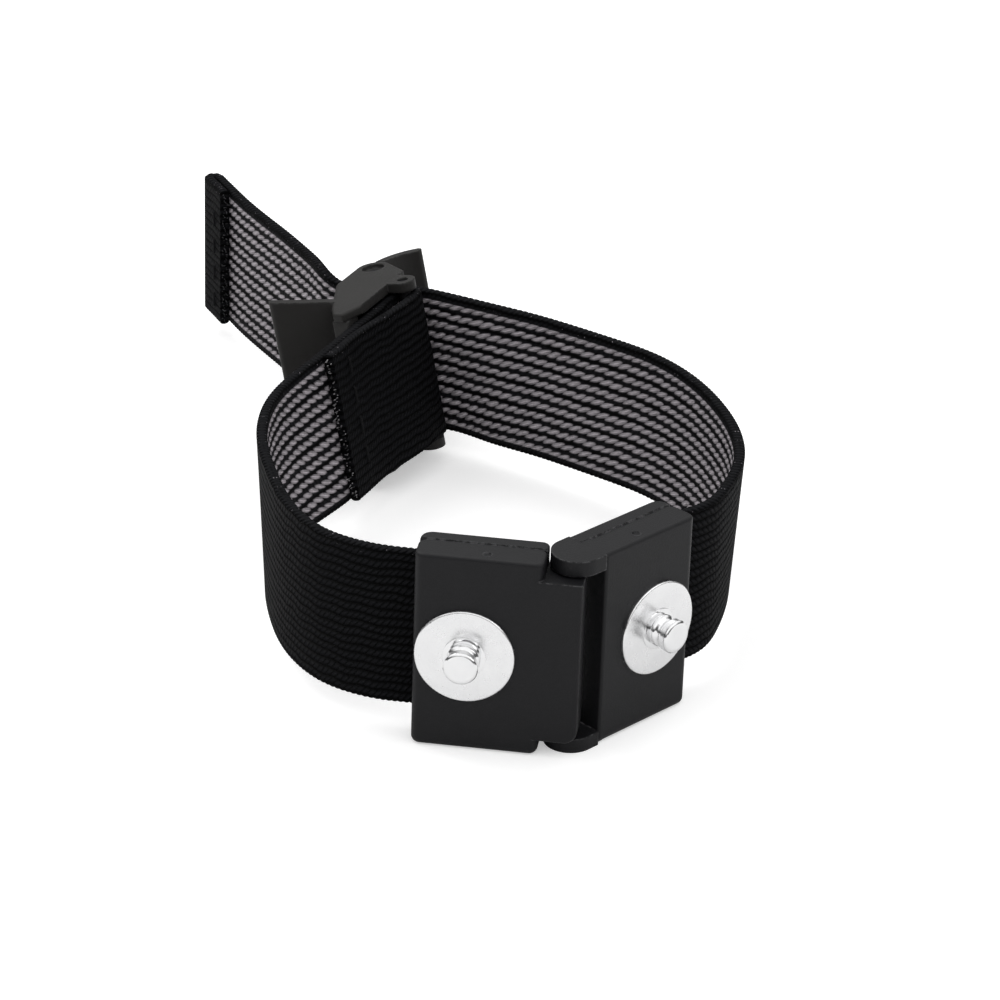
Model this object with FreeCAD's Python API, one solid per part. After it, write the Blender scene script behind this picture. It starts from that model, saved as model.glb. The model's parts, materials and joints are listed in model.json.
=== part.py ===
import FreeCAD, Part
import math
import os
from FreeCAD import Placement, Rotation, Vector

# ESD wrist strap: a two-part snap buckle on a vertical hinge, an elastic band closed
# into a loop, and a cam clasp that takes up the band's free end.
# Millimetres. The band stands on edge: +Z up, +Y from the buckle towards the clasp.
# Everything is laid out about the hinge pin, then moved so that the origin is under the
# middle of the whole strap, on the surface that it stands on.

# ---- driving dimensions -------------------------------------------------------------
leftYaw = -7.5            # degrees, how the left half's face is turned
rightYaw = 45.5           # degrees, the same for the right half
houseHigh = 24.6          # both halves
shellDeep = 4.0           # front shell, face to parting line
coverDeep = 2.0           # rear cover
houseDeep = shellDeep + coverDeep
leftBody = (-16.65, -2.0)   # left body's ends along the face, from the hinge
rightBody = (3.66, 18.36)   # right body's ends
leftSnapAt = -10.6
rightSnapAt = 12.36
snapHigh = 12.3
wall = 1.2
earThick = 1.75
earEnd = -1.04
tongueEnd = 2.5
tongueLow = 1.98
tongueTop = 22.45
pinRadius = 0.8
runGap = 0.05             # pin to moving bore

strapWide = 19.8
strapThick = 1.3
strapLow = 2.9
strapMid = strapLow + strapWide / 2
strapDepth = 1.7          # strap's middle behind the hinge plane, inside the housings
strapGrip = 3.55          # how much of the strap is inside a housing
slotGap = 0.08            # strap to housing
plyGap = 0.12             # between the plies where the strap lies doubled
foldStart = -8.0          # the left strap lies doubled from here to the strap bar
gripped = (strapGrip, 2.4, 1.2, 0, -1)   # strap stations from a housing's end inwards
hemLong = 5.6             # how much of the free end is folded back

discRadius = 5.75
discThick = 0.5
studRadius = 2.0          # the standard 4 mm snap
studTall = 3.0
rivetRadius = 1.0
plateBand = (snapHigh - 9.6, snapHigh + 9.6)   # the skin plate's height range
padBand = (snapHigh - 8.4, snapHigh + 8.4)     # the same for the pad behind it

claspOrigin = Vector(-24.5, 63.5, 1.15)
claspHeading = 66.4       # degrees, the clasp's long side
claspLean = 12.5          # degrees, the clasp's top leans outwards
claspHigh = 23.2
claspPlate = 1.3
leverPin = (16.8, 3.07)   # along and across the clasp
strapBar = (12.3, -3.5)
barRadius = 0.75

front = -houseDeep / 2    # depth of the face, from the hinge plane
parting = front + shellDeep
back = houseDeep / 2
up = Vector(0, 0, 1)

leftPlace = Placement(Vector(), Rotation(up, leftYaw))
rightPlace = Placement(Vector(), Rotation(up, rightYaw))
claspTurn = Rotation(up, claspHeading).multiply(Rotation(Vector(1, 0, 0), -claspLean))
claspPlace = Placement(claspOrigin, claspTurn)
leanAim = Rotation(up, claspHeading).multVec(Vector(0, 1, 0))
tailPlace = Placement(Vector(-47.6, 113.2, strapMid), Rotation(up, 116.0))


# ---- shape helpers ------------------------------------------------------------------
def block(a, b, z):
    """A box from its three pairs of limits."""
    corner = Vector(a[0], b[0], z[0])
    return Part.makeBox(a[1] - a[0], b[1] - b[0], z[1] - z[0], corner)


def post(a, b, radius, z):
    """An upright cylinder."""
    return Part.makeCylinder(radius, z[1] - z[0], Vector(a, b, z[0]), up)


def bar(a, z, radius, b):
    """A cylinder across the housing, from depth b[0] to b[1]."""
    return Part.makeCylinder(radius, b[1] - b[0], Vector(a, b[0], z), Vector(0, 1, 0))


def prism(points, z):
    """An upright prism on a plan outline."""
    corners = [Vector(a, b, z[0]) for a, b in points]
    outline = Part.makePolygon(corners + corners[:1])
    return Part.Face(outline).extrude(up * (z[1] - z[0]))


def fused(shapes):
    return shapes[0].multiFuse(shapes[1:]).removeSplitter()


def rounded(shape, radius, chosen, along=None):
    """Fillet the edges whose ends both satisfy chosen(point), or only those that run one way."""
    edges = []
    for edge in shape.Edges:
        ends = [vertex.Point for vertex in edge.Vertexes]
        if len(ends) == 2 and all(chosen(point) for point in ends):
            if along is None or (ends[1] - ends[0]).cross(along).Length < 1e-6:
                edges.append(edge)
    return shape.makeFillet(radius, edges)


def near(value, target):
    return abs(value - target) < 1e-4


# ---- buckle halves ------------------------------------------------------------------
def frontShell(ends, soft, snapAt):
    """A tray, open at the back, with a boss for the snap's rivet; soft ends have round corners."""
    shell = block(ends, (front, parting), (0, houseHigh))
    for end in soft:
        shell = rounded(shell, 1.0, lambda p: near(p.x, end), up)
    shell = rounded(shell, 0.9, lambda p: near(p.y, front) and p.z < 1.01)
    shell = rounded(shell, 0.35, lambda p: near(p.y, front) and p.z > 0.8)
    inside = (ends[0] + wall, ends[1] - wall)
    pocket = block(inside, (front + 1.4, parting), (wall, houseHigh - wall))
    boss = bar(snapAt, snapHigh, 2.6, (front + 1.4, parting))
    shell = shell.cut(pocket.cut(boss))
    return shell.cut(bar(snapAt, snapHigh, rivetRadius, (front, parting)))


def rearCover(ends, outer, snapAt, toOuter):
    """The skin-side cover: strap slot, seat for the skin plate, and a joint groove."""
    cover = block(ends, (parting, back), (0, houseHigh))
    cover = rounded(cover, 1.4, lambda p: near(p.x, outer) and near(p.y, back))
    if toOuter < 0:
        cover = rounded(cover, 0.9, lambda p: near(p.x, ends[1]) and near(p.y, back))
    cover = rounded(cover, 0.35, lambda p: near(p.y, back))
    groove = (parting, parting + 0.16)
    rim = block(ends, groove, (0, houseHigh))
    core = block((ends[0] + 0.14, ends[1] - 0.14), groove, (0.14, houseHigh - 0.14))
    cover = cover.cut(rim.cut(core))
    slotEnd = outer - toOuter * strapGrip
    slot = (strapDepth - strapThick / 2 - slotGap, strapDepth + strapThick / 2 + slotGap)
    low, high = sorted((slotEnd - toOuter * slotGap, outer + toOuter))
    cover = cover.cut(block((low, high), (parting - 1, slot[1]), strapBand(slotGap)))
    plate = plateSpan(outer, toOuter)
    cover = cover.cut(block(plate, (back - 0.4, back + 1), plateBand))
    low, high = sorted((slotEnd, outer - toOuter * 1.0))
    cover = cover.cut(block((low, high), (slot[1] - 0.1, back), padBand))
    cover = cover.cut(bar(snapAt, snapHigh, rivetRadius, (parting, back)))
    return cover.cut(bar(snapAt, snapHigh, 2.3, (back - 0.9, back)))


def strapBand(extra):
    return (strapLow - extra, strapLow + strapWide + extra)


def plateSpan(outer, toOuter):
    """The skin plate's two ends along the housing."""
    return sorted((outer - toOuter * 0.9, outer - toOuter * 13.0))


def skinPlate(outer, toOuter):
    """Steel sheet against the skin, with a pad that bears on the strap's conductive face."""
    sheet = block(plateSpan(outer, toOuter), (back - 0.4, back + 0.1), plateBand)
    sheet = rounded(sheet, 1.2, lambda p: True, Vector(0, 1, 0))
    low, high = sorted((outer - toOuter * strapGrip, outer - toOuter * 1.1))
    pad = block((low + 0.05, high - 0.05), (strapDepth + strapThick / 2 + 0.05, back - 0.4), padBand)
    return fused([sheet, pad])


def strapClamp(outer, toOuter):
    """A bar with three ridges, pressed on the strap's outer face."""
    low, high = sorted((outer - toOuter * 3.3, outer - toOuter * 1.5))
    body = block((low, high), (parting - 0.9, parting - 0.2), strapBand(-0.6))
    ridges = []
    for middle in (low + 0.4, (low + high) / 2, high - 0.4):
        ridges.append(post(middle, parting - 0.33, 0.3, strapBand(-1.0)))
    return fused([body] + ridges)


def snapDisc(at):
    """Base plate of the snap: a thin disc with a rounded rim."""
    disc = bar(at, snapHigh, discRadius, (front - discThick, front))
    rim = [edge for edge in disc.Edges if near(edge.BoundBox.YMax, front - discThick)]
    disc = disc.makeFillet(0.22, rim)
    return disc.cut(bar(at, snapHigh, rivetRadius, (front - discThick, front)))


def snapStud(at):
    """Male 4 mm snap: a low foot, a ring, a waist, and a full head with a flat end."""
    profile = [(0, 0), (2.5, 0), (2.5, 0.08), (1.7, 0.15), (1.85, 0.3), (1.95, 0.5), (1.95, 0.75)]
    profile += [(1.85, 0.95), (1.6, 1.15), (1.5, 1.3), (1.55, 1.45), (1.8, 1.7), (studRadius, 2.0)]
    profile += [(studRadius, 2.7), (1.9, 2.86), (1.75, 2.95), (1.5, studTall), (0, studTall)]
    base = front - discThick
    corners = [Vector(at + radius, base - tall, snapHigh) for radius, tall in profile]
    face = Part.Face(Part.makePolygon(corners + corners[:1]))
    stud = face.revolve(Vector(at, base, snapHigh), Vector(0, 1, 0), 360)
    return stud.cut(bar(at, snapHigh, rivetRadius, (base - 1.9, base)))


def rivet(at):
    """Joins stud, disc, shell and cover; its head bears on the skin plate."""
    shank = bar(at, snapHigh, rivetRadius, (front - discThick - 1.9, back - 0.9))
    head = bar(at, snapHigh, 2.2, (back - 0.9, back - 0.4))
    return fused([shank, head])


def leftShell():
    """The left tray carries the hinge's middle tongue."""
    shell = frontShell(leftBody, leftBody, leftSnapAt)
    tongue = block((leftBody[1] - 1.1, tongueEnd), (front, back), (tongueLow, tongueTop))
    tongue = tongue.cut(block((leftBody[1] - 2, leftBody[1]), (parting, back + 1), (0, houseHigh)))
    tongue = rounded(tongue, 1.6, lambda p: near(p.x, tongueEnd) and near(p.z, tongueLow))
    tongue = rounded(tongue, 2.4, lambda p: near(p.x, tongueEnd) and near(p.y, back))
    tongue = rounded(tongue, 0.35, lambda p: near(p.x, tongueEnd) and near(p.y, front))
    shell = fused([shell, tongue])
    bore = post(0, 0, pinRadius + runGap, (0, houseHigh))
    dimple = post(leftSnapAt + 2.0, front + 1.5, 0.5, (houseHigh - 0.15, houseHigh))
    return shell.cut(bore).cut(dimple)


def rightShell():
    """The right tray carries the two ears that hold the hinge pin."""
    shell = frontShell(rightBody, rightBody[1:], rightSnapAt)
    for z in ((0, earThick), (houseHigh - earThick - 0.15, houseHigh)):
        end = post(earEnd - front, 0, -front, z).common(block((-9, earEnd - front), (-9, 9), z))
        shell = shell.fuse(fused([end, block((earEnd - front, rightBody[0]), (front, back), z)]))
        shell = shell.fuse(block((rightBody[0] - 0.1, rightBody[0] + wall), (front + 0.5, parting), z))
    shell = shell.removeSplitter()
    bore = post(0, 0, pinRadius, (0, houseHigh - 0.7))
    dimple = post(rightSnapAt - 2.4, front + 1.5, 0.5, (houseHigh - 0.15, houseHigh))
    return shell.cut(bore).cut(dimple)


def hingePin():
    return post(0, 0, pinRadius, (0.15, houseHigh - 0.75))


# ---- clasp --------------------------------------------------------------------------
def claspFrame():
    """Two plates joined by a front post, a pinch bar and an outer wall, with a finger lip."""
    outline = [(0, -0.9), (3.0, -2.0), (15.6, -2.0), (18.6, 1.8), (16.8, 5.27), (10.2, 5.27)]
    outline += [(2.0, 1.7), (0, 0.4)]
    pieces = []
    inner = (claspPlate, claspHigh - claspPlate)
    for z in ((0, claspPlate), (claspHigh - claspPlate, claspHigh)):
        plate = rounded(prism(outline, z), 0.35, lambda p: p.x < 4 or near(p.x, 10.2))
        lug = block((strapBar[0] - 1.6, strapBar[0] + 1.6), (strapBar[1], -1.5), z)
        pieces += [plate, post(leverPin[0], leverPin[1], 2.2, z), lug, post(*strapBar, 1.6, z)]
    pieces.append(block((0.5, 3.2), (-1.2, 1.0), inner))
    wallLine = [(2.6, 0.6), (10.2, 4.0), (12.2, 4.0), (12.2, 5.2), (10.2, 5.2), (2.0, 1.7)]
    pieces.append(prism(wallLine, inner))
    pinch = block((10.4, 13.5), (-1.2, 3.4), inner)
    pieces.append(rounded(pinch, 0.6, lambda p: near(p.x, 13.5)))
    pieces.append(block((10.4, 12.2), (3.0, 5.2), inner))
    pieces.append(fingerLip())
    frame = fused(pieces)
    frame = frame.cut(post(*leverPin, pinRadius, (0, claspHigh)))
    frame = frame.cut(post(*leverPin, 1.5, (claspHigh - 0.5, claspHigh)))
    frame = frame.cut(post(*leverPin, 1.5, (0, 0.5)))
    return frame.cut(post(*strapBar, barRadius, (0, claspHigh)))


def fingerLip():
    """A flat lip that stands out from the clasp's front corner; its top edge is level."""
    root = Vector(4.3, 2.2, 2.2)
    tip = Vector(-0.2, 9.3, 3.8)
    tall = Vector(0, 0, claspHigh - 2.2)
    outline = Part.makePolygon([root, tip, tip + tall, root + tall, root])
    thick = (tip - root).cross(up).normalize() * 1.3
    lip = Part.Face(outline).extrude(thick)
    return rounded(lip, 0.5, lambda p: p.y > 5, tall)


def clampLever():
    """Cam barrel on the pin, its nose towards the pinch bar, and a curved finger tab."""
    inner = (claspPlate + 0.15, claspHigh - claspPlate - 0.15)
    barrel = post(*leverPin, 1.4, inner)
    nose = post(leverPin[0] - 0.55, leverPin[1], 1.1, inner)
    root = tab((17.0, 3.9), (20.9, 3.35), (24.3, 0.3), inner)
    tall = tab((17.0, 3.9), (20.9, 3.35), (24.3, 0.3), (0.3, claspHigh - 0.3))
    tall = tall.common(block((19.9, 30), (-10, 10), (0, claspHigh)))
    lever = fused([barrel, nose, root, tall])
    return lever.cut(post(*leverPin, pinRadius + runGap, (0, claspHigh)))


def tab(start, middle, end, z):
    """A plate 1.3 thick that follows the arc through three plan points, with a round tip."""
    arc = Part.Arc(*[Vector(a, b, z[0]) for a, b in (start, middle, end)])
    circle = arc.toShape().Curve
    faces = []
    for radius in (circle.Radius - 0.6, circle.Radius + 0.6):
        rays = [(Vector(a, b, z[0]) - circle.Center).normalize() for a, b in (start, middle, end)]
        faces.append([circle.Center + ray * radius for ray in rays])
    outline = [Part.Arc(*faces[0]).toShape(), Part.makeLine(faces[0][2], faces[1][2])]
    outline += [Part.Arc(*faces[1]).toShape(), Part.makeLine(faces[1][0], faces[0][0])]
    plate = Part.Face(Part.Wire(Part.__sortEdges__(outline))).extrude(up * (z[1] - z[0]))
    return plate.fuse(post(*end, 0.6, z))


def claspPin():
    return post(*leverPin, pinRadius, (0.5, claspHigh - 0.5))


def strapPin():
    return post(*strapBar, barRadius, (0.3, claspHigh - 0.3))


# ---- straps -------------------------------------------------------------------------
def onHalf(place, a, b):
    """A strap station inside a housing."""
    spot = place.multVec(Vector(a, b, strapMid))
    return (spot, 0.0)


def station(x, y, lean):
    """A strap station in the open: its middle, and how far its top leans outwards."""
    return (Vector(x, y, strapMid), lean)


def onClasp(along, across, height=claspHigh / 2):
    return (claspPlace.multVec(Vector(along, across, height)), claspLean)


def onTail(along, across):
    """A strap station at the free end, from where it turns back on itself."""
    return (tailPlace.multVec(Vector(along, across, 0)), 0.0)


def turn(centre, radius, side, place):
    """Stations half way round a point, past its +X side; side is +1 if they start beyond it."""
    stations = []
    for step in range(7):
        angle = math.radians(90 - 30 * step)
        along, across = radius * math.cos(angle), side * radius * math.sin(angle)
        stations.append(place(centre[0] + along, centre[1] + across))
    return stations


def ribbon(stations):
    """A flat strap: four rails through the stations' corners, and the faces between them."""
    middle = Part.BSplineCurve()
    middle.interpolate([spot for spot, lean in stations])
    stops = [middle.getKnot(index + 1) for index in range(len(stations))]
    rails = [[], [], [], []]
    for (spot, lean), stop in zip(stations, stops):
        tilt = math.radians(lean)
        across = leanAim * math.sin(tilt) + up * math.cos(tilt)
        out = middle.tangent(stop)[0].cross(across).normalize() * (strapThick / 2)
        half = across * (strapWide / 2)
        for rail, corner in zip(rails, (half + out, half - out, -half - out, -half + out)):
            rail.append(spot + corner)
    curves = []
    for rail in rails:
        curve = Part.BSplineCurve()
        curve.interpolate(Points=rail, Parameters=stops)
        curves.append(curve)
    faces = []
    for start, stop in zip(stops, stops[1:]):
        edges = [curve.toShape(start, stop) for curve in curves]
        faces += [Part.makeRuledSurface(edges[side], edges[side - 1]) for side in range(4)]
    for end in (0, -1):
        corners = [rail[end] for rail in rails]
        faces.append(Part.Face(Part.makePolygon(corners + corners[:1])))
    shell = Part.makeShell(faces)
    shell.sewShape()
    strap = Part.makeSolid(shell)
    if strap.Volume < 0:
        strap.reverse()
    expected = middle.length() * strapWide * strapThick
    print("strap length", round(middle.length(), 1), "volume", round(strap.Volume / expected, 3))
    return strap


def leftStrap():
    """From the left housing round to the clasp, round the strap bar and back on itself."""
    stations = [onHalf(leftPlace, leftBody[0] + inside, strapDepth) for inside in gripped]
    route = [(-20.4, 4.5, 1), (-23.9, 5.8, 1), (-27.4, 8.2, 1.5), (-30.3, 12.0, 1), (-32.5, 16.8, 1)]
    route += [(-34.1, 22.6, 1.5), (-35.3, 28.9, 3), (-35.6, 35.9, 5), (-34.6, 42.2, 7.5), (-32.5, 47.8, 10)]
    stations += [station(x, y, lean) for x, y, lean in route]
    radius = barRadius + strapThick / 2 + 0.05
    stations += [onClasp(along, strapBar[1] + radius) for along in (-10.0, foldStart, -3.0, 3.0, 8.0)]
    stations += turn(strapBar, radius, 1, onClasp)
    doubled = radius - strapThick - plyGap
    returned = [(8.0, -radius), (3.0, -0.7), (-2.0, doubled), (-6.0, doubled), (-9.8, doubled)]
    stations += [onClasp(along, strapBar[1] + across) for along, across in returned]
    return ribbon(stations)


def rightStrap():
    """From the right housing round and through the clasp to the free end, folded back."""
    stations = [onHalf(rightPlace, rightBody[1] - inside, strapDepth) for inside in gripped]
    route = [(14.25, 16.4, 0), (16.8, 19.0, -1), (18.6, 23.2, -2), (20.1, 29.4, -3), (20.4, 37.6, -2)]
    route += [(18.9, 45.0, -1), (15.7, 52.9, 0), (10.6, 59.6, 0), (6.5, 62.9, 0), (2.0, 66.1, 1)]
    route += [(-3.6, 69.8, 3), (-9.8, 73.2, 7)]
    stations += [station(x, y, lean) for x, y, lean in route]
    through = [(15.4, -6.5, 10.5), (15.2, -3.0, 11.3), (14.5, 0.2, 11.8), (14.25, 3.07, 11.9)]
    through.append((14.0, 5.6, 12.1))
    stations += [onClasp(along, across, height) for along, across, height in through]
    tail = [(-30.6, 82.4, 7), (-32.4, 85.6, 3.5), (-34.7, 89.5, 1), (-37.4, 94.2, 0), (-40.6, 99.6, 0)]
    tail += [(-43.7, 105.2, 0), (-46.1, 110.1, 0)]
    stations += [station(x, y, lean) for x, y, lean in tail]
    radius = (strapThick + plyGap) / 2
    stations += [onTail(-1.5, 0)] + turn((0, radius), radius, -1, onTail)
    stations += [onTail(along, radius * 2) for along in (-1.5, -3.5, -hemLong)]
    return ribbon(stations)


def seam(along, nearFace, farFace):
    """A running stitch up the strap: thread through the plies, and bars on alternate faces."""
    pitch = 2.0
    count = 9
    radius = 0.2
    low = -pitch * (count - 1) / 2
    pieces = []
    for step in range(count):
        z = low + step * pitch
        pieces.append(bar(along, z, radius, (nearFace, farFace)))
        if step + 1 < count:
            face = nearFace if step % 2 else farFace
            pieces.append(Part.makeCylinder(radius, pitch, Vector(along, face, z), up))
    return fused(pieces)


def leftSeam():
    outer = strapBar[1] + barRadius + strapThick
    thread = seam(foldStart + 2.0, outer - 2 * strapThick - plyGap, outer)
    thread.translate(up * (claspHigh / 2))
    return thread.transformed(claspPlace.toMatrix())


def tailSeam():
    thread = seam(-3.4, -strapThick / 2, strapThick * 1.5 + plyGap)
    return thread.transformed(tailPlace.toMatrix())


leftHalf = {
    "left_front_shell": leftShell(),
    "left_rear_cover": rearCover(leftBody, leftBody[0], leftSnapAt, -1),
    "left_snap_disc": snapDisc(leftSnapAt),
    "left_snap_stud": snapStud(leftSnapAt),
    "left_rivet": rivet(leftSnapAt),
    "left_skin_plate": skinPlate(leftBody[0], -1),
    "left_strap_clamp": strapClamp(leftBody[0], -1),
}
rightHalf = {
    "right_front_shell": rightShell(),
    "right_rear_cover": rearCover(rightBody, rightBody[1], rightSnapAt, 1),
    "right_snap_disc": snapDisc(rightSnapAt),
    "right_snap_stud": snapStud(rightSnapAt),
    "right_rivet": rivet(rightSnapAt),
    "right_skin_plate": skinPlate(rightBody[1], 1),
    "right_strap_clamp": strapClamp(rightBody[1], 1),
    "hinge_pin": hingePin(),
}
clasp = {
    "clasp_frame": claspFrame(),
    "clasp_lever": clampLever(),
    "clasp_pin": claspPin(),
    "strap_bar": strapPin(),
}
parts = {
    "left_strap": leftStrap(),
    "right_strap": rightStrap(),
    "left_strap_stitching": leftSeam(),
    "tail_stitching": tailSeam(),
}
for group, place in ((leftHalf, leftPlace), (rightHalf, rightPlace), (clasp, claspPlace)):
    for name, shape in group.items():
        parts[name] = shape.transformed(place.toMatrix())

box = Part.makeCompound(list(parts.values())).optimalBoundingBox(True, False)
shift = Vector(-(box.XMin + box.XMax) / 2, -(box.YMin + box.YMax) / 2, -box.ZMin)
print("whole", round(box.XLength, 2), round(box.YLength, 2), round(box.ZLength, 2), "shift", shift)
os.makedirs("parts", exist_ok=True)
for name, shape in parts.items():
    shape.translate(shift)
    print(name, len(shape.Solids), round(shape.Volume, 1), shape.isValid())
    shape.exportStep("parts/" + name + ".step")
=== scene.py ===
import json
import math
import random

import bpy
import numpy as np
from mathutils import Matrix, Vector


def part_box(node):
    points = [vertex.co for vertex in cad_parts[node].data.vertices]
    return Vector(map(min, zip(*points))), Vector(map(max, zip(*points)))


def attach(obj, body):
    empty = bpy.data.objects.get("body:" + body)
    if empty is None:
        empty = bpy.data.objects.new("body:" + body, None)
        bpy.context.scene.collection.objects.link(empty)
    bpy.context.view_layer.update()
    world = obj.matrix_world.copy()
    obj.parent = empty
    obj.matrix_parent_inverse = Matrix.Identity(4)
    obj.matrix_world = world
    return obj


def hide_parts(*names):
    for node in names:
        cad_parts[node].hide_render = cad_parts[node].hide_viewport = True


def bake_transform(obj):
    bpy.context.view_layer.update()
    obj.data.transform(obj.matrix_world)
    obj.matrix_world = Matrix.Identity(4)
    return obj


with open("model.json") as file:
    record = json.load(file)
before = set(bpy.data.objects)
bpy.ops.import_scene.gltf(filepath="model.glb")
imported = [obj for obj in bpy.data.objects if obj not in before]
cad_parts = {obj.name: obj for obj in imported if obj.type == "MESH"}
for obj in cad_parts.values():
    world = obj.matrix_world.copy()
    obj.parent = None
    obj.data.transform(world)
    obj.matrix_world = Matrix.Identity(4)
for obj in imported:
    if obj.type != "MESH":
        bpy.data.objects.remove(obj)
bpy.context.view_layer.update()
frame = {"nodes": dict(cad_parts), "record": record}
print("frame loaded")

pinLow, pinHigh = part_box("hinge_pin")
pinX = (pinLow.x + pinHigh.x) / 2
pinY = (pinLow.y + pinHigh.y) / 2


def place(x, y, z):  # millimetres from the hinge pin's foot to the frame's metres
    return Vector((pinX + x / 1000, pinY + y / 1000, z / 1000))


# node helpers
def number(tree, operation, *values):  # a maths node; each value is a number or a socket
    node = tree.nodes.new("ShaderNodeMath")
    node.operation = operation
    for socket, value in zip(node.inputs, values):
        feed(tree, value, socket)
    return node.outputs[0]


def feed(tree, value, socket):
    if isinstance(value, bpy.types.NodeSocket):
        tree.links.new(value, socket)
    else:
        socket.default_value = value


def spread(tree, value, low, high, toLow=0.0, toHigh=1.0):  # smooth step from low..high to toLow..toHigh
    node = tree.nodes.new("ShaderNodeMapRange")
    node.interpolation_type = "SMOOTHSTEP"
    settings = {"Value": value, "From Min": low, "From Max": high, "To Min": toLow, "To Max": toHigh}
    for label, amount in settings.items():
        feed(tree, amount, node.inputs[label])
    return node.outputs["Result"]


def blendColour(tree, factor, first, second):
    node = tree.nodes.new("ShaderNodeMix")
    node.data_type = "RGBA"
    feed(tree, factor, node.inputs["Factor"])
    feed(tree, first, node.inputs["A"])
    feed(tree, second, node.inputs["B"])
    return node.outputs["Result"]


def noise(tree, vector, scale, detail=2.0, roughness=0.5):
    node = tree.nodes.new("ShaderNodeTexNoise")
    node.inputs["Scale"].default_value = scale
    node.inputs["Detail"].default_value = detail
    node.inputs["Roughness"].default_value = roughness
    tree.links.new(vector, node.inputs["Vector"])
    return node.outputs["Fac"]


def newGroup(name, inputs, outputs):
    tree = bpy.data.node_groups.new(name, "ShaderNodeTree")
    for label, kind, value in inputs:
        socket = tree.interface.new_socket(label, in_out="INPUT", socket_type=kind)
        if value is not None:
            socket.default_value = value
    for label, kind in outputs:
        tree.interface.new_socket(label, in_out="OUTPUT", socket_type=kind)
    return tree, tree.nodes.new("NodeGroupInput").outputs, tree.nodes.new("NodeGroupOutput").inputs


def useGroup(tree, group, **values):
    node = tree.nodes.new("ShaderNodeGroup")
    node.node_tree = group
    for label, value in values.items():
        feed(tree, value, node.inputs[label])
    return node.outputs


def colour(red, green, blue):
    return (red, green, blue, 1.0)


# shared effects
def twillEffect():  # black elastic twill: wavy ribs along the band, made of short slanted stitches; the second output paints the grooves dark and the rib crests light, a painted shade and painted highlight over a noisy yarn tone
    tree, given, made = newGroup(
        "twill",
        [("Along", "NodeSocketFloat", 0.0), ("Across", "NodeSocketFloat", 0.0),
         ("Rib Pitch", "NodeSocketFloat", 0.9), ("Stitch Length", "NodeSocketFloat", 0.8),
         ("Slant", "NodeSocketFloat", 0.9)],
        [("Height", "NodeSocketFloat"), ("Yarn Tone And Rib Shade", "NodeSocketFloat")])
    combine = tree.nodes.new("ShaderNodeCombineXYZ")
    tree.links.new(given["Along"], combine.inputs[0])
    tree.links.new(given["Across"], combine.inputs[1])
    wander = number(tree, "SUBTRACT", noise(tree, combine.outputs[0], 0.22), 0.5)
    wave = number(tree, "SINE", number(tree, "MULTIPLY", given["Along"], 1.7))
    wave = number(tree, "MULTIPLY", wave, 0.05)
    rows = number(tree, "DIVIDE", given["Across"], given["Rib Pitch"])
    rows = number(tree, "ADD", number(tree, "ADD", rows, wave), number(tree, "MULTIPLY", wander, 0.9))
    row = number(tree, "FLOOR", rows)
    part = number(tree, "FRACT", rows)
    stitches = number(tree, "DIVIDE", given["Along"], given["Stitch Length"])
    stitches = number(tree, "ADD", stitches, number(tree, "MULTIPLY", part, given["Slant"]))
    stitches = number(tree, "ADD", stitches, number(tree, "MULTIPLY", row, 0.37))
    stitch = number(tree, "FRACT", stitches)
    rib = hump(tree, part)
    loop = hump(tree, stitch)
    crown = number(tree, "MULTIPLY_ADD", number(tree, "SQRT", loop), 0.65, 0.35)
    height = number(tree, "MULTIPLY", rib, crown)
    tree.links.new(height, made["Height"])
    fine = noise(tree, combine.outputs[0], 5.0, 3.0, 0.7)
    fuzz = number(tree, "MULTIPLY_ADD", fine, 0.9, 0.4)
    # painted shade in the grooves and painted highlight on the rib crests, varied by a noisy yarn tone
    tree.links.new(number(tree, "MULTIPLY", height, fuzz), made["Yarn Tone And Rib Shade"])
    return tree


def hump(tree, part):  # 0 at both ends of a 0..1 value, 1 in its middle
    centred = number(tree, "MULTIPLY_ADD", part, 2.0, -1.0)
    return number(tree, "SUBTRACT", 1.0, number(tree, "MULTIPLY", centred, centred))


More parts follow.
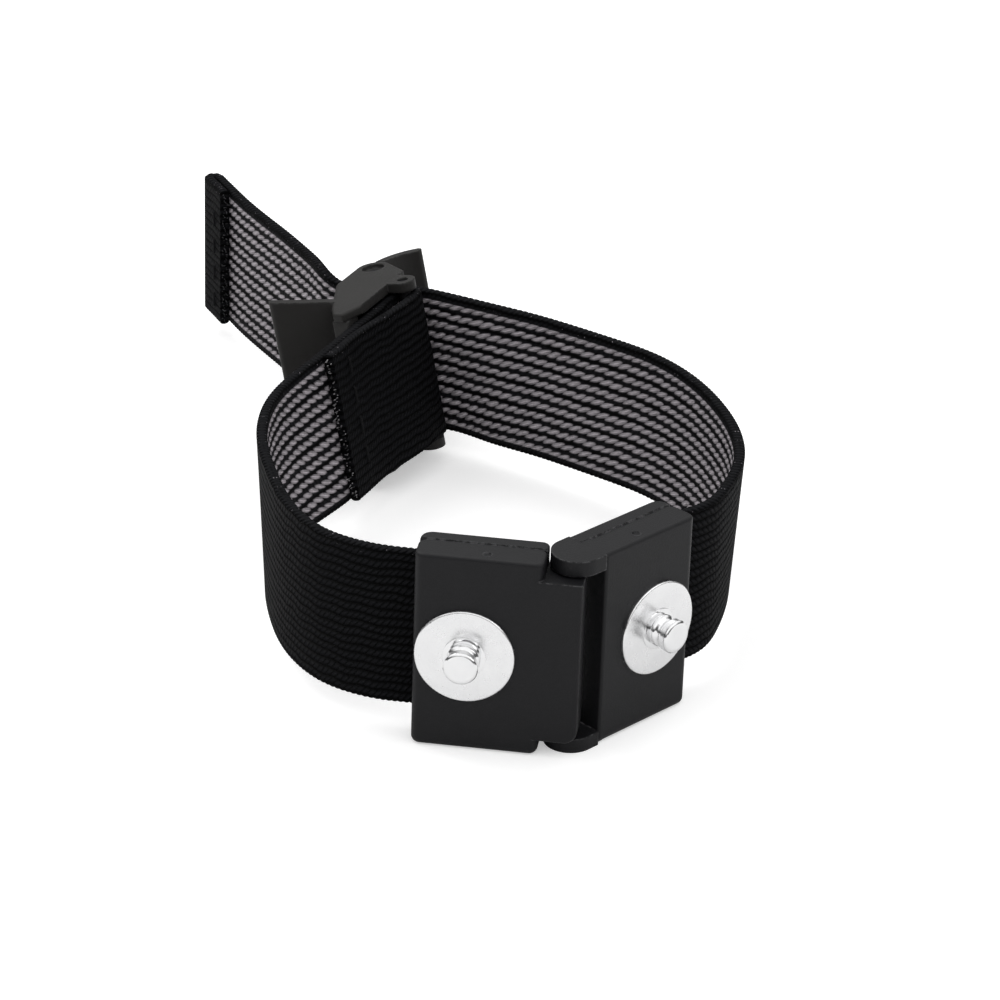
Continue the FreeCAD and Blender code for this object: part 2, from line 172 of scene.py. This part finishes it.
def silverEffect():  # rows of slanted silver floats on the skin side, kept off both selvedges; their mask carries a painted highlight, brighter along each float's crest and darker towards its sides and ends
    tree, given, made = newGroup(
        "silverRows",
        [("Along", "NodeSocketFloat", 0.0), ("Across", "NodeSocketFloat", 0.0),
         ("Row Pitch", "NodeSocketFloat", 1.55), ("Dash Pitch", "NodeSocketFloat", 1.45),
         ("Half Width", "NodeSocketFloat", 8.9)],
        [("Mask", "NodeSocketFloat"), ("Height", "NodeSocketFloat")])
    combine = tree.nodes.new("ShaderNodeCombineXYZ")
    tree.links.new(given["Along"], combine.inputs[0])
    tree.links.new(given["Across"], combine.inputs[1])
    wander = number(tree, "SUBTRACT", noise(tree, combine.outputs[0], 0.35), 0.5)
    rows = number(tree, "DIVIDE", given["Across"], given["Row Pitch"])
    rows = number(tree, "ADD", rows, number(tree, "MULTIPLY", wander, 0.35))
    row = number(tree, "FLOOR", rows)
    part = number(tree, "SUBTRACT", number(tree, "FRACT", rows), 0.5)
    dashes = number(tree, "DIVIDE", given["Along"], given["Dash Pitch"])
    dashes = number(tree, "ADD", dashes, number(tree, "MULTIPLY", part, 1.5))
    dashes = number(tree, "ADD", dashes, number(tree, "MULTIPLY", row, 0.43))
    dash = number(tree, "SUBTRACT", number(tree, "FRACT", dashes), 0.5)
    length = number(tree, "MULTIPLY", number(tree, "ABSOLUTE", dash), 2.0)
    width = number(tree, "MULTIPLY", number(tree, "ABSOLUTE", part), 2.0)
    narrowing = number(tree, "MULTIPLY", number(tree, "POWER", length, 3.0), 0.42)
    waist = number(tree, "SUBTRACT", 0.74, narrowing)
    shown = spread(tree, number(tree, "SUBTRACT", waist, width), -0.06, 0.34)
    crest = hump(tree, number(tree, "ADD", part, 0.5))
    crest = number(tree, "MULTIPLY", crest, number(tree, "SUBTRACT", 1.1, length))
    inside = spread(tree, number(tree, "ABSOLUTE", given["Across"]), given["Half Width"],
                    number(tree, "SUBTRACT", given["Half Width"], 0.25))
    mask = number(tree, "MULTIPLY", shown, inside)
    twist = number(tree, "MULTIPLY", given["Across"], 22.0)
    twist = number(tree, "MULTIPLY_ADD", given["Along"], 9.0, twist)
    threads = number(tree, "MULTIPLY_ADD", number(tree, "SINE", twist), 0.16, 0.78)
    fray = number(tree, "MULTIPLY_ADD", noise(tree, combine.outputs[0], 2.4, 3.0, 0.7), 0.7, 0.62)
    # painted highlight: each float brighter along its crest, darker towards its sides and ends
    lit = number(tree, "MULTIPLY_ADD", crest, 0.75, 0.38)
    litMask = number(tree, "MULTIPLY", mask, lit)
    yarns = number(tree, "MULTIPLY", threads, fray)
    tree.links.new(number(tree, "MULTIPLY", litMask, yarns), made["Mask"])
    tree.links.new(number(tree, "MULTIPLY", mask, crest), made["Height"])
    return tree


def grainEffect():  # fine moulded grain
    tree, given, made = newGroup(
        "mouldGrain", [("Vector", "NodeSocketVector", None), ("Scale", "NodeSocketFloat", 6000.0)],
        [("Height", "NodeSocketFloat"), ("Cloud", "NodeSocketFloat")])
    fine = tree.nodes.new("ShaderNodeTexNoise")
    tree.links.new(given["Vector"], fine.inputs["Vector"])
    tree.links.new(given["Scale"], fine.inputs["Scale"])
    fine.inputs["Detail"].default_value = 3.0
    fine.inputs["Roughness"].default_value = 0.6
    tree.links.new(fine.outputs["Fac"], made["Height"])
    tree.links.new(noise(tree, given["Vector"], 160.0, 4.0, 0.6), made["Cloud"])
    return tree


def edgeEffect():  # how much an edge is rubbed and lit, as wear and painted highlight: 1 on a sharp edge, 0 on a flat face
    tree, given, made = newGroup(
        "edgeWearAndHighlight", [("Vector", "NodeSocketVector", None), ("Radius", "NodeSocketFloat", 0.0003)],
        [("Mask", "NodeSocketFloat"), ("Normal", "NodeSocketVector")])
    soft = tree.nodes.new("ShaderNodeBevel")
    soft.samples = 6
    tree.links.new(given["Radius"], soft.inputs["Radius"])
    geometry = tree.nodes.new("ShaderNodeNewGeometry")
    dot = tree.nodes.new("ShaderNodeVectorMath")
    dot.operation = "DOT_PRODUCT"
    tree.links.new(soft.outputs["Normal"], dot.inputs[0])
    tree.links.new(geometry.outputs["Normal"], dot.inputs[1])
    bend = spread(tree, dot.outputs["Value"], 0.995, 0.85)
    broken = spread(tree, noise(tree, given["Vector"], 1400.0, 4.0, 0.7), 0.42, 0.62)
    tree.links.new(number(tree, "MULTIPLY", bend, broken), made["Mask"])
    tree.links.new(soft.outputs["Normal"], made["Normal"])
    return tree


twill = twillEffect()
silverRows = silverEffect()
mouldGrain = grainEffect()
edgeWearAndHighlight = edgeEffect()
print("shared effects made")


# materials
def newMaterial(name):
    material = bpy.data.materials.new(name)
    material.use_nodes = True
    return material, material.node_tree, material.node_tree.nodes["Principled BSDF"].inputs


def objectPlace(tree):
    return tree.nodes.new("ShaderNodeTexCoord").outputs["Object"]


def bumped(tree, height, strength, distance, normal=None):
    node = tree.nodes.new("ShaderNodeBump")
    node.inputs["Strength"].default_value = strength
    node.inputs["Distance"].default_value = distance
    tree.links.new(height, node.inputs["Height"])
    if normal is not None:
        tree.links.new(normal, node.inputs["Normal"])
    return node.outputs["Normal"]


def plasticMaterial(name, look):
    material, tree, surface = newMaterial(name)
    where = objectPlace(tree)
    grain = useGroup(tree, mouldGrain, Vector=where, Scale=look["grainScale"])
    wornAndLitEdge = useGroup(tree, edgeWearAndHighlight, Vector=where, Radius=look["edgeRadius"])
    base = blendColour(tree, grain["Cloud"], look["dark"], look["light"])
    # edges mixed towards a lighter grey: partly wear, partly a painted highlight along the sharp edges
    base = blendColour(tree, number(tree, "MULTIPLY", wornAndLitEdge["Mask"], look["wearAndHighlight"]), base, look["wornAndLitEdge"])
    tree.links.new(base, surface["Base Color"])
    rough = number(tree, "MULTIPLY_ADD", grain["Height"], look["roughSpread"], look["rough"])
    tree.links.new(rough, surface["Roughness"])
    relief = bumped(tree, grain["Height"], look["grainDepth"], 0.00006, wornAndLitEdge["Normal"])
    tree.links.new(relief, surface["Normal"])
    surface["Specular IOR Level"].default_value = look["shine"]
    return material


def metalMaterial(name, look):
    material, tree, surface = newMaterial(name)
    where = objectPlace(tree)
    stretch = tree.nodes.new("ShaderNodeMapping")
    stretch.inputs["Scale"].default_value = look["brush"]
    tree.links.new(where, stretch.inputs["Vector"])
    lines = noise(tree, stretch.outputs["Vector"], 900.0, 3.0, 0.6)
    cloud = noise(tree, where, 420.0, 3.0, 0.6)
    wornAndLitEdge = useGroup(tree, edgeWearAndHighlight, Vector=where, Radius=look["edgeRadius"])
    tree.links.new(blendColour(tree, cloud, look["dark"], look["light"]), surface["Base Color"])
    surface["Metallic"].default_value = 1.0
    rough = number(tree, "MULTIPLY_ADD", lines, look["roughSpread"], look["rough"])
    tree.links.new(rough, surface["Roughness"])
    tree.links.new(bumped(tree, lines, look["brushDepth"], 0.00002, wornAndLitEdge["Normal"]), surface["Normal"])
    return material


def strapCoordinates(tree):  # millimetres along and across the band, from the mesh's map
    node = tree.nodes.new("ShaderNodeUVMap")
    node.uv_map = "band"
    split = tree.nodes.new("ShaderNodeSeparateXYZ")
    tree.links.new(node.outputs["UV"], split.inputs[0])
    along = number(tree, "MULTIPLY", split.outputs[0], 100.0)
    across = number(tree, "MULTIPLY", split.outputs[1], 100.0)
    return along, across


def strapMaterial(name, look, silver):  # one face of the band; silver is True on the skin side
    material, tree, surface = newMaterial(name)
    along, across = strapCoordinates(tree)
    weave = useGroup(tree, twill, Along=along, Across=across, **{"Rib Pitch": look["ribPitch"],
                     "Stitch Length": look["stitchLength"], "Slant": look["slant"]})
    # the twill's grooves darkened and rib crests lightened: painted shade and painted highlight
    base = blendColour(tree, spread(tree, weave["Yarn Tone And Rib Shade"], 0.1, 1.0), look["dark"], look["light"])
    rough = look["rough"]
    height = weave["Height"]
    glint = number(tree, "MULTIPLY", spread(tree, across, 8.9, 9.2), look["glint"])
    combine = tree.nodes.new("ShaderNodeCombineXYZ")
    tree.links.new(along, combine.inputs[0])
    tree.links.new(across, combine.inputs[1])
    specks = spread(tree, noise(tree, combine.outputs[0], 3.4, 1.0), 0.72, 0.76)
    glint = number(tree, "MULTIPLY", glint, specks)
    if silver:
        rows = useGroup(tree, silverRows, Along=along, Across=across)
        glint = number(tree, "MAXIMUM", glint, rows["Mask"])
        height = number(tree, "MULTIPLY_ADD", height, 0.3, rows["Height"])
    base = blendColour(tree, glint, base, look["silver"])
    tree.links.new(base, surface["Base Color"])
    tree.links.new(number(tree, "MULTIPLY", glint, look["silverMetal"]), surface["Metallic"])
    roughness = number(tree, "MULTIPLY_ADD", glint, look["silverRough"] - rough, rough)
    tree.links.new(roughness, surface["Roughness"])
    surface["Specular IOR Level"].default_value = look["shine"]
    tree.links.new(bumped(tree, height, look["relief"], look["reliefDepth"]), surface["Normal"])
    return material


# housings, clasp and metal
housingLook = {
    "dark": colour(0.0062, 0.0062, 0.0072), "light": colour(0.0105, 0.0105, 0.012),
    # the edge colour and its amount are partly wear, partly a painted highlight on the edges
    "wornAndLitEdge": colour(0.15, 0.15, 0.155), "wearAndHighlight": 0.6, "rough": 0.36, "roughSpread": 0.2,
    "grainScale": 5200.0, "grainDepth": 0.5, "edgeRadius": 0.0003, "shine": 0.22,
}
claspLook = dict(housingLook, dark=colour(0.018, 0.0172, 0.0165), light=colour(0.027, 0.026, 0.025),
                 rough=0.42, wearAndHighlight=0.3, edgeRadius=0.0004)
snapLook = {
    "dark": colour(0.80, 0.80, 0.81), "light": colour(0.93, 0.93, 0.93), "rough": 0.06, "roughSpread": 0.1,
    "brush": (1.0, 1.0, 1.0), "brushDepth": 0.1, "edgeRadius": 0.00012,
}
steelLook = dict(snapLook, dark=colour(0.5, 0.5, 0.51), light=colour(0.68, 0.68, 0.68),
                 rough=0.26, roughSpread=0.25, brush=(1.0, 1.0, 14.0), brushDepth=0.4)
threadLook = dict(housingLook, dark=colour(0.003, 0.003, 0.0035), light=colour(0.009, 0.009, 0.01),
                  rough=0.85, wearAndHighlight=0.0)
discLook = dict(snapLook, rough=0.2, roughSpread=0.12)
pinLook = dict(steelLook, dark=colour(0.02, 0.02, 0.022), light=colour(0.045, 0.045, 0.047), rough=0.5)
finishes = {
    "housing": plasticMaterial("housing", housingLook),
    "clasp": plasticMaterial("clasp", claspLook),
    "snap": metalMaterial("snap", snapLook),
    "rivet": metalMaterial("rivet", steelLook),
    "skin_plate": metalMaterial("skinPlate", steelLook),
    "strap_clamp": metalMaterial("strapClamp", steelLook),
    "pins": metalMaterial("pins", pinLook),
    "thread": plasticMaterial("thread", threadLook),
}
discFinish = metalMaterial("snapDisc", discLook)
slotOf = {entry["node"]: entry["material_slot"] for entry in frame["record"]["subparts"]}
for name, node in frame["nodes"].items():
    if slotOf[name] in finishes:
        node.data.materials.clear()
        node.data.materials.append(discFinish if name.endswith("snap_disc") else finishes[slotOf[name]])
        for face in node.data.polygons:
            face.material_index = 0
print("hard parts finished")


# the band
bandLook = {
    # dark and light: painted shade in the twill's grooves, painted highlight on its rib crests
    "dark": colour(0.0003, 0.0003, 0.0004), "light": colour(0.0095, 0.0097, 0.0112),
    "silver": colour(0.66, 0.61, 0.65), "rough": 0.7, "silverRough": 0.5, "silverMetal": 0.2,
    "relief": 1.0, "reliefDepth": 0.00042,
    "glint": 0.3, "shine": 0.05, "ribPitch": 1.05, "stitchLength": 0.72, "slant": 1.1,
}
band = {
    "width": 19.8, "thick": 1.3, "middle": 12.8, "step": 0.16, "scallop": 0.13, "scallopPitch": 0.72,
    "gripped": (3.55, 2.4, 1.2, 0, -1), "insideHousing": 1.7,
}
layout = {  # degrees and millimetres
    "leftYaw": -7.5, "rightYaw": 45.5, "leftEnd": -16.65, "rightEnd": 18.36,
    "claspSpot": (-24.5, 63.5, 1.15), "claspHeading": 66.4, "claspLean": 12.5, "claspMiddle": 11.6,
    "strapBar": (12.3, -3.5), "barTurn": 1.45, "tailSpot": (-47.6, 113.2), "tailHeading": 116, "hemTurn": 0.71,
}
bandOutside = strapMaterial("bandOutside", bandLook, False)
bandSkin = strapMaterial("bandSkin", bandLook, True)


def spin(degrees, axis, size):
    return Matrix.Rotation(math.radians(degrees), size, axis)


claspTurn = spin(layout["claspHeading"], "Z", 4) @ spin(-layout["claspLean"], "X", 4)
claspPlace = Matrix.Translation(layout["claspSpot"]) @ claspTurn
leanAim = spin(layout["claspHeading"], "Z", 3) @ Vector((0, 1, 0))
tailPlace = Matrix.Translation((*layout["tailSpot"], band["middle"])) @ spin(layout["tailHeading"], "Z", 4)


def onHalf(yaw, along):
    return (spin(yaw, "Z", 3) @ Vector((along, band["insideHousing"], band["middle"])), 0.0)


def onClasp(along, across, height=layout["claspMiddle"]):
    return (claspPlace @ Vector((along, across, height)), layout["claspLean"])


def onTail(along, across):
    return (tailPlace @ Vector((along, across, 0)), 0.0)


def openRun(x, y, lean):
    return (Vector((x, y, band["middle"])), lean)


def turnBack(centre, radius, side, where):
    angles = [math.radians(90 - 15 * step) for step in range(13)]
    rim = [(radius * math.cos(a), side * radius * math.sin(a)) for a in angles]
    return [where(centre[0] + x, centre[1] + y) for x, y in rim]


def splined(knots, values, at):  # natural cubic spline through rows of values
    count = len(knots)
    gap = np.diff(knots)
    system = np.eye(count)
    right = np.zeros((count, values.shape[1]))
    for i in range(1, count - 1):
        system[i, i - 1:i + 2] = gap[i - 1], 2 * (gap[i - 1] + gap[i]), gap[i]
        right[i] = 6 * ((values[i + 1] - values[i]) / gap[i] - (values[i] - values[i - 1]) / gap[i - 1])
    curve = np.linalg.solve(system, right)
    i = np.clip(np.searchsorted(knots, at) - 1, 0, count - 2)
    h = gap[i][:, None]
    a = (knots[i + 1] - at)[:, None] / h
    b = 1 - a
    bend = ((a ** 3 - a) * curve[i] + (b ** 3 - b) * curve[i + 1]) * h * h / 6
    return a * values[i] + b * values[i + 1] + bend


def bandProfile():  # section of the band, round its edges: (across, out of the face, which face)
    half = band["width"] / 2
    deep = band["thick"] / 2
    corner = 0.35
    flat = np.linspace(-half + corner, half - corner, 27)
    outside = [(x, deep, x, 0) for x in flat]
    skin = [(x, -deep, x, 1) for x in flat[::-1]]
    edge = []
    for degrees in (60, 30, 0, -30, -60):
        a = math.radians(degrees)
        reach = half - corner + deep * (1 - abs(degrees) / 90)
        edge.append((half - corner + corner * math.cos(a), deep * math.sin(a), reach, int(degrees < 0)))
    return outside + edge + skin + [(-x, -y, -reach, int(y > 0)) for x, y, reach, face in edge]


def bandMesh(name, stations, skinSide):  # skinSide is which way the band's skin side faces, 1 or -1
    spots = np.array([tuple(spot) + (lean,) for spot, lean in stations])
    knots = np.concatenate([[0], np.cumsum(np.linalg.norm(np.diff(spots[:, :3], axis=0), axis=1))])
    fine = splined(knots, spots, np.linspace(0, knots[-1], 4000))
    run = np.concatenate([[0], np.cumsum(np.linalg.norm(np.diff(fine[:, :3], axis=0), axis=1))])
    rows = int(run[-1] / band["step"])
    at = np.linspace(0, run[-1], rows)
    line = np.stack([np.interp(at, run, fine[:, k]) for k in range(4)], 1)
    ahead = np.gradient(line[:, :3], axis=0)
    ahead /= np.linalg.norm(ahead, axis=1)[:, None]
    tilt = np.radians(line[:, 3])[:, None]
    across = np.array(leanAim)[None, :] * np.sin(tilt) + np.array([0, 0, 1.0])[None, :] * np.cos(tilt)
    out = np.cross(ahead, across)
    out *= skinSide / np.linalg.norm(out, axis=1)[:, None]
    profile = bandProfile()
    scallop = band["scallop"] * (np.abs(np.sin(math.pi * at / band["scallopPitch"])) - 0.6)
    vertices = []
    for x, y, reach, face in profile:
        edge = abs(x) > band["width"] / 2 - 0.4
        reach = x + math.copysign(edge, x) * scallop
        vertices.append(line[:, :3] + across * reach[:, None] + out * y)
    vertices = np.stack(vertices, 1).reshape(-1, 3)
    vertices = vertices / 1000 + np.array([pinX, pinY, 0])
    ring = len(profile)
    faces = []
    kinds = []
    for row in range(rows - 1):
        for k in range(ring):
            follow = (k + 1) % ring
            low, high = row * ring, (row + 1) * ring
            faces.append((low + k, low + follow, high + follow, high + k))
            kinds.append(profile[k][3])
    faces += [tuple(reversed(range(ring))), tuple((rows - 1) * ring + k for k in range(ring))]
    kinds += [1, 1]
    mesh = bpy.data.meshes.new(name)
    mesh.from_pydata(vertices.tolist(), [], faces)
    mesh.materials.append(bandSkin)
    mesh.materials.append(bandOutside)
    mesh.polygons.foreach_set("material_index", kinds)
    mesh.polygons.foreach_set("use_smooth", [True] * (len(faces) - 2) + [False, False])
    layer = mesh.uv_layers.new(name="band")
    along = np.repeat(at, ring) / 100
    side = np.tile([reach for x, y, reach, face in profile], rows) / 100
    corners = np.array([loop.vertex_index for loop in mesh.loops])
    layer.data.foreach_set("uv", np.stack([along[corners], side[corners]], 1).ravel())
    mesh.update()
    strap = bpy.data.objects.new(name, mesh)
    bpy.context.scene.collection.objects.link(strap)
    print(name, "length", round(run[-1], 1), "rows", rows)
    cut = (place(*line[-1, :3]), Vector(ahead[-1]), Vector(across[-1]), Vector(out[-1]))
    return strap, run[-1] / 1000, cut


leftStations = [onHalf(layout["leftYaw"], layout["leftEnd"] + inside) for inside in band["gripped"]]
leftStations += [openRun(*spot) for spot in (
    (-20.4, 4.5, 1), (-23.9, 5.8, 1), (-27.4, 8.2, 1.5), (-30.3, 12.0, 1), (-32.5, 16.8, 1),
    (-34.1, 22.6, 1.5), (-35.3, 28.9, 3), (-35.6, 35.9, 5), (-34.6, 42.2, 7.5), (-32.5, 47.8, 10))]
leftStations += [onClasp(along, -2.05) for along in (-10, -8, -3, 3, 8)]
leftStations += turnBack(layout["strapBar"], layout["barTurn"], 1, onClasp)
leftStations += [onClasp(along, layout["strapBar"][1] + across) for along, across in (
    (8, -1.45), (3, -0.7), (-2, 0.03), (-6, 0.03), (-9.8, 0.03))]
leftBand, leftLong, leftCut = bandMesh("left_band", leftStations, 1)
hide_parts("left_strap")
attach(leftBand, "left_half")

rightStations = [onHalf(layout["rightYaw"], layout["rightEnd"] - inside) for inside in band["gripped"]]
rightStations += [openRun(*spot) for spot in (
    (14.25, 16.4, 0), (16.8, 19.0, -1), (18.6, 23.2, -2), (20.1, 29.4, -3), (20.4, 37.6, -2),
    (18.9, 45.0, -1), (15.7, 52.9, 0), (10.6, 59.6, 0), (6.5, 62.9, 0), (2.0, 66.1, 1), (-3.6, 69.8, 3),
    (-9.8, 73.2, 7))]
rightStations += [onClasp(*spot) for spot in (
    (15.4, -6.5, 10.5), (15.2, -3.0, 11.3), (14.5, 0.2, 11.8), (14.25, 3.07, 11.9), (14.0, 5.6, 12.1))]
rightStations += [openRun(*spot) for spot in (
    (-30.6, 82.4, 7), (-32.4, 85.6, 3.5), (-34.7, 89.5, 1), (-37.4, 94.2, 0), (-40.6, 99.6, 0),
    (-43.7, 105.2, 0), (-46.1, 110.1, 0))]
rightStations += [onTail(-1.5, 0)] + turnBack((0, layout["hemTurn"]), layout["hemTurn"], -1, onTail)
rightStations += [onTail(along, 2 * layout["hemTurn"]) for along in (-1.5, -3.5, -5.6)]
rightBand, rightLong, rightCut = bandMesh("right_band", rightStations, -1)
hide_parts("right_strap")
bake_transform(rightBand)


def yarnEnds(name, cut, look):  # short ends of the yarns along the band's cut edge
    spot, ahead, across, out = cut
    random.seed(look["seed"])
    vertices = []
    faces = []
    for step in range(look["count"]):
        share = step / (look["count"] - 1) - 0.5
        foot = spot + across * (share * 0.0186) + out * random.uniform(-0.0004, 0.0004) - ahead * 0.0001
        aim = ahead + across * random.uniform(-0.5, 0.5) + out * random.uniform(-0.4, 0.6)
        tip = foot + aim.normalized() * random.uniform(*look["length"])
        first = len(vertices)
        thick = look["radius"]
        for centre, radius in ((foot, thick), ((foot + tip) / 2, thick), (tip, thick * 0.4)):
            for turn in range(5):
                a = turn * math.tau / 5
                vertices.append(centre + across * (radius * math.cos(a)) + out * (radius * math.sin(a)))
        for level in (0, 5):
            for turn in range(5):
                low, high = first + level + turn, first + level + (turn + 1) % 5
                faces.append((low, high, high + 5, low + 5))
        faces.append(tuple(first + 10 + turn for turn in range(5)))
        faces.append(tuple(first + turn for turn in reversed(range(5))))
    mesh = bpy.data.meshes.new(name)
    mesh.from_pydata([tuple(v) for v in vertices], [], faces)
    mesh.polygons.foreach_set("use_smooth", [True] * len(faces))
    material, tree, surface = newMaterial(name)
    shade = noise(tree, objectPlace(tree), 1500.0, 1.0)
    base = blendColour(tree, spread(tree, shade, 0.42, 0.6), look["dark"], look["bright"])
    tree.links.new(base, surface["Base Color"])
    surface["Roughness"].default_value = 0.6
    mesh.materials.append(material)
    tuft = bpy.data.objects.new(name, mesh)
    bpy.context.scene.collection.objects.link(tuft)
    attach(tuft, "left_half")
    return tuft


yarnLook = {
    "seed": 4, "count": 70, "length": (0.0002, 0.0007), "radius": 0.00009,
    "dark": colour(0.004, 0.004, 0.005), "bright": colour(0.3, 0.29, 0.3),
}
yarnEnds("left_yarn_ends", leftCut, yarnLook)
yarnEnds("tail_yarn_ends", rightCut, dict(yarnLook, seed=9, bright=colour(0.05, 0.05, 0.055)))
print("band made")


# floor, light and camera
stageLook = {"floor": 0.88, "glow": 0.4, "low": 0.1, "high": 1.1, "key": 1.6, "fill": 0.5}
floorMesh = bpy.data.meshes.new("floor")
floorMesh.from_pydata([(-6, -6, 0), (6, -6, 0), (6, 6, 0), (-6, 6, 0)], [], [(0, 1, 2, 3)])
floor = bpy.data.objects.new("floor", floorMesh)
bpy.context.scene.collection.objects.link(floor)
floorPaint, floorTree, floorSurface = newMaterial("floor")
floorSurface["Base Color"].default_value = colour(*[stageLook["floor"]] * 3)
floorSurface["Roughness"].default_value = 0.9
floorSurface["Emission Color"].default_value = colour(1.0, 1.0, 1.0)
floorSeen = floorTree.nodes.new("ShaderNodeLightPath").outputs["Is Camera Ray"]
floorGlow = number(floorTree, "MULTIPLY", floorSeen, stageLook["glow"])
floorTree.links.new(floorGlow, floorSurface["Emission Strength"])
floorMesh.materials.append(floorPaint)

world = bpy.data.worlds.new("studio")
bpy.context.scene.world = world
world.use_nodes = True
worldTree = world.node_tree
backdrop = worldTree.nodes["Background"]
backdrop.inputs["Color"].default_value = colour(1.0, 1.0, 1.0)
seen = worldTree.nodes.new("ShaderNodeLightPath").outputs["Is Camera Ray"]
split = worldTree.nodes.new("ShaderNodeSeparateXYZ")
worldTree.links.new(worldTree.nodes.new("ShaderNodeTexCoord").outputs["Generated"], split.inputs[0])
dome = spread(worldTree, split.outputs[2], 0.2, 0.55, stageLook["low"], stageLook["high"])
strength = number(worldTree, "MAXIMUM", seen, dome)
worldTree.links.new(strength, backdrop.inputs["Strength"])


def softLight(name, power, size, spot, target):
    light = bpy.data.lights.new(name, "AREA")
    light.energy = power
    light.shape = "RECTANGLE"
    light.size = size[0]
    light.size_y = size[1]
    lamp = bpy.data.objects.new(name, light)
    lamp.location = spot
    lamp.rotation_euler = (target - spot).to_track_quat("-Z", "Y").to_euler()
    bpy.context.scene.collection.objects.link(lamp)
    return lamp


heart = place(-5, 45, 10)
softLight("keyLight", stageLook["key"], (0.5, 0.4), Vector((-0.35, 0.35, 0.7)), heart)
softLight("fillLight", stageLook["fill"], (0.6, 0.4), Vector((0.6, -0.3, 0.45)), heart)

camera = bpy.data.objects.new("camera", bpy.data.cameras.new("camera"))
bpy.context.scene.collection.objects.link(camera)
camera.data.lens = 144
camera.data.sensor_width = 36
camera.data.clip_start = 0.01
right = Vector((0.99939608, 0.01563608, 0.03103211))  # the picture's right, in the frame
above = Vector((-0.03474879, 0.44970304, 0.89250193))  # the picture's up
behind = right.cross(above)
turned = Matrix((right, above, behind)).transposed().to_4x4()
camera.matrix_world = Matrix.Translation(place(-7.515, -396.966, 231.289)) @ turned
bpy.context.scene.camera = camera
bpy.context.scene.view_settings.view_transform = "Standard"
print("stage set")
